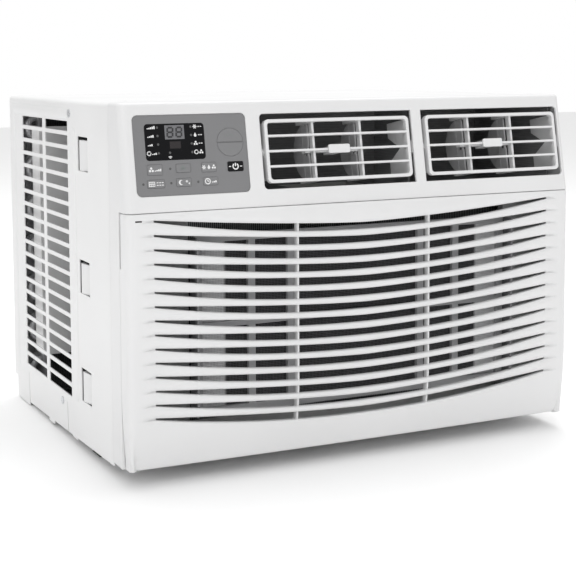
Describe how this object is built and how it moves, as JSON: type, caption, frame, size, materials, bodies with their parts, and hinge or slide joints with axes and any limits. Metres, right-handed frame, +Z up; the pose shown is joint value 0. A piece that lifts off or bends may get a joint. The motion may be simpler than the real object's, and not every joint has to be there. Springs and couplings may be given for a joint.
{
  "type": "window air conditioner",
  "caption": "Window air conditioner with a tilting slotted intake grille, two tipping outlet louvre cassettes, a touch-key panel and a full cooling circuit inside.",
  "frame": {"origin": "middle of the footprint, on the surface that the feet stand on", "axes": "+X to the right as seen from the room, -Y towards the room, +Z up"},
  "size_m": [0.47, 0.391, 0.34],
  "materials": {
    "cabinet_paint": "satin white powder coat",
    "pan_paint": "satin white paint",
    "fascia_plastic": "fine spark-eroded white",
    "grille_plastic": "fine spark-eroded white",
    "louvre_plastic": "smooth white",
    "tab_plastic": "smooth white",
    "vane_plastic": "charcoal",
    "duct_charcoal": "charcoal",
    "panel_grey": "printed satin film",
    "key_grey": "printed satin film",
    "key_black": "gloss",
    "lens_black": "gloss smoked",
    "digit_grey": "unlit segments",
    "led_lens": "clear lens",
    "board_green": "solder mask",
    "box_grey": "moulded",
    "scroll_foam": "expanded foam",
    "filter_plastic": "moulded grey",
    "filter_net": "woven net",
    "coil_aluminium": "bare fins",
    "condenser_fins": "black hydrophilic coating",
    "galvanised": "zinc spangle",
    "shroud_paint": "grey primer",
    "shaft_steel": "ground",
    "screw_zinc": "zinc plated",
    "motor_paint": "black",
    "compressor_black": "gloss black",
    "cover_black": "moulded",
    "copper": "drawn copper",
    "capacitor_alloy": "drawn can",
    "fan_black": "glass-filled black",
    "rubber_black": "moulded rubber"
  },
  "bodies": {
    "housing": {"base_pan": "pan_paint", "pan_feet": "rubber_black", "cabinet": "cabinet_paint", "cabinet_screws": "screw_zinc", "cord_gland": "rubber_black", "front_fascia": "fascia_plastic", "control_overlay": "panel_grey", "display_window": "lens_black", "digit_display": "digit_grey", "indicator_leds": "led_lens", "control_board": "board_green", "control_box": "box_grey", "outlet_duct": "duct_charcoal", "blower_scroll": "scroll_foam", "evaporator_coil": "coil_aluminium", "drip_tray": "scroll_foam", "bulkhead": "galvanised", "fan_motor": "motor_paint", "motor_bracket": "galvanised", "fan_shroud": "shroud_paint", "condenser_coil": "condenser_fins", "compressor": "compressor_black", "compressor_grommets": "rubber_black", "terminal_cover": "cover_black", "accumulator": "compressor_black", "discharge_pipe": "copper", "suction_pipe": "copper", "run_capacitor": "capacitor_alloy"},
    "grille": {"intake_grille": "grille_plastic"},
    "filter": {"filter_frame": "filter_plastic", "filter_mesh": "filter_net"},
    "rotor": {"motor_shaft": "shaft_steel", "blower_wheel": "fan_black", "condenser_fan": "fan_black"},
    "cassette_left": {"louvre_cassette_left": "louvre_plastic"},
    "tab_left": {"slider_tab_left": "tab_plastic", "vane_link_left": "tab_plastic"},
    "vane_left_1": {"vane_left_1": "vane_plastic"},
    "vane_left_2": {"vane_left_2": "vane_plastic"},
    "cassette_right": {"louvre_cassette_right": "louvre_plastic"},
    "tab_right": {"slider_tab_right": "tab_plastic", "vane_link_right": "tab_plastic"},
    "vane_right_1": {"vane_right_1": "vane_plastic"},
    "vane_right_2": {"vane_right_2": "vane_plastic"},
    "power_key": {"power_key": "key_black"},
    "mode_key": {"mode_key": "key_grey"},
    "fan_speed_key": {"fan_speed_key": "key_grey"},
    "eco_key": {"eco_key": "key_grey"},
    "filter_key": {"filter_key": "key_grey"},
    "sleep_key": {"sleep_key": "key_grey"},
    "timer_key": {"timer_key": "key_grey"},
    "up_key": {"up_key": "key_grey"},
    "down_key": {"down_key": "key_grey"}
  },
  "joints": [
    {"name": "grille_tilt", "type": "hinge", "parent": "housing", "child": "grille", "pos_m": [0, -0.1785, 0.023], "axis": [1, 0, 0], "range_deg": [0, 45]},
    {"name": "filter_lift", "type": "slide", "parent": "grille", "child": "filter", "axis": [0, 0, 1], "range_m": [0, 0.008]},
    {"name": "fan_spin", "type": "hinge", "parent": "housing", "child": "rotor", "pos_m": [-0.03, 0.0075, 0.142], "axis": [0, 1, 0], "continuous": true},
    {"name": "cassette_left_tip", "type": "hinge", "parent": "housing", "child": "cassette_left", "pos_m": [-0.022, -0.17626, 0.29267], "axis": [1, 0, 0], "range_deg": [-20, 20]},
    {"name": "tab_left_slide", "type": "slide", "parent": "cassette_left", "child": "tab_left", "axis": [1, 0, 0], "range_m": [-0.0043, 0.0043]},
    {"name": "vane_left_1_turn", "type": "hinge", "parent": "cassette_left", "child": "vane_left_1", "pos_m": [-0.047, -0.16002, 0.28974], "axis": [0, 0.1779, 0.984], "range_deg": [-31, 31]},
    {"name": "vane_left_2_turn", "type": "hinge", "parent": "cassette_left", "child": "vane_left_2", "pos_m": [0.003, -0.16002, 0.28974], "axis": [0, 0.1779, 0.984], "range_deg": [-31, 31]},
    {"name": "cassette_right_tip", "type": "hinge", "parent": "housing", "child": "cassette_right", "pos_m": [0.1486, -0.17626, 0.29267], "axis": [1, 0, 0], "range_deg": [-20, 20]},
    {"name": "tab_right_slide", "type": "slide", "parent": "cassette_right", "child": "tab_right", "axis": [1, 0, 0], "range_m": [-0.0043, 0.0043]},
    {"name": "vane_right_1_turn", "type": "hinge", "parent": "cassette_right", "child": "vane_right_1", "pos_m": [0.1236, -0.16002, 0.28974], "axis": [0, 0.1779, 0.984], "range_deg": [-31, 31]},
    {"name": "vane_right_2_turn", "type": "hinge", "parent": "cassette_right", "child": "vane_right_2", "pos_m": [0.1736, -0.16002, 0.28974], "axis": [0, 0.1779, 0.984], "range_deg": [-31, 31]},
    {"name": "power_press", "type": "slide", "parent": "housing", "child": "power_key", "axis": [0, 0.984, -0.1779], "range_m": [0, 0.0006], "stiffness_N_per_m": 800},
    {"name": "mode_press", "type": "slide", "parent": "housing", "child": "mode_key", "axis": [0, 0.984, -0.1779], "range_m": [0, 0.0006], "stiffness_N_per_m": 800},
    {"name": "fan_speed_press", "type": "slide", "parent": "housing", "child": "fan_speed_key", "axis": [0, 0.984, -0.1779], "range_m": [0, 0.0006], "stiffness_N_per_m": 800},
    {"name": "eco_press", "type": "slide", "parent": "housing", "child": "eco_key", "axis": [0, 0.984, -0.1779], "range_m": [0, 0.0006], "stiffness_N_per_m": 800},
    {"name": "filter_press", "type": "slide", "parent": "housing", "child": "filter_key", "axis": [0, 0.984, -0.1779], "range_m": [0, 0.0006], "stiffness_N_per_m": 800},
    {"name": "sleep_press", "type": "slide", "parent": "housing", "child": "sleep_key", "axis": [0, 0.984, -0.1779], "range_m": [0, 0.0006], "stiffness_N_per_m": 800},
    {"name": "timer_press", "type": "slide", "parent": "housing", "child": "timer_key", "axis": [0, 0.984, -0.1779], "range_m": [0, 0.0006], "stiffness_N_per_m": 800},
    {"name": "up_press", "type": "slide", "parent": "housing", "child": "up_key", "axis": [0, 0.984, -0.1779], "range_m": [0, 0.0006], "stiffness_N_per_m": 800},
    {"name": "down_press", "type": "slide", "parent": "housing", "child": "down_key", "axis": [0, 0.984, -0.1779], "range_m": [0, 0.0006], "stiffness_N_per_m": 800}
  ],
  "couplings": [
    {"joint": "vane_left_1_turn", "follows": "tab_left_slide", "rad_per_m": 121.8},
    {"joint": "vane_left_2_turn", "follows": "tab_left_slide", "rad_per_m": 121.8},
    {"joint": "vane_right_1_turn", "follows": "tab_right_slide", "rad_per_m": 121.8},
    {"joint": "vane_right_2_turn", "follows": "tab_right_slide", "rad_per_m": 121.8}
  ]
}
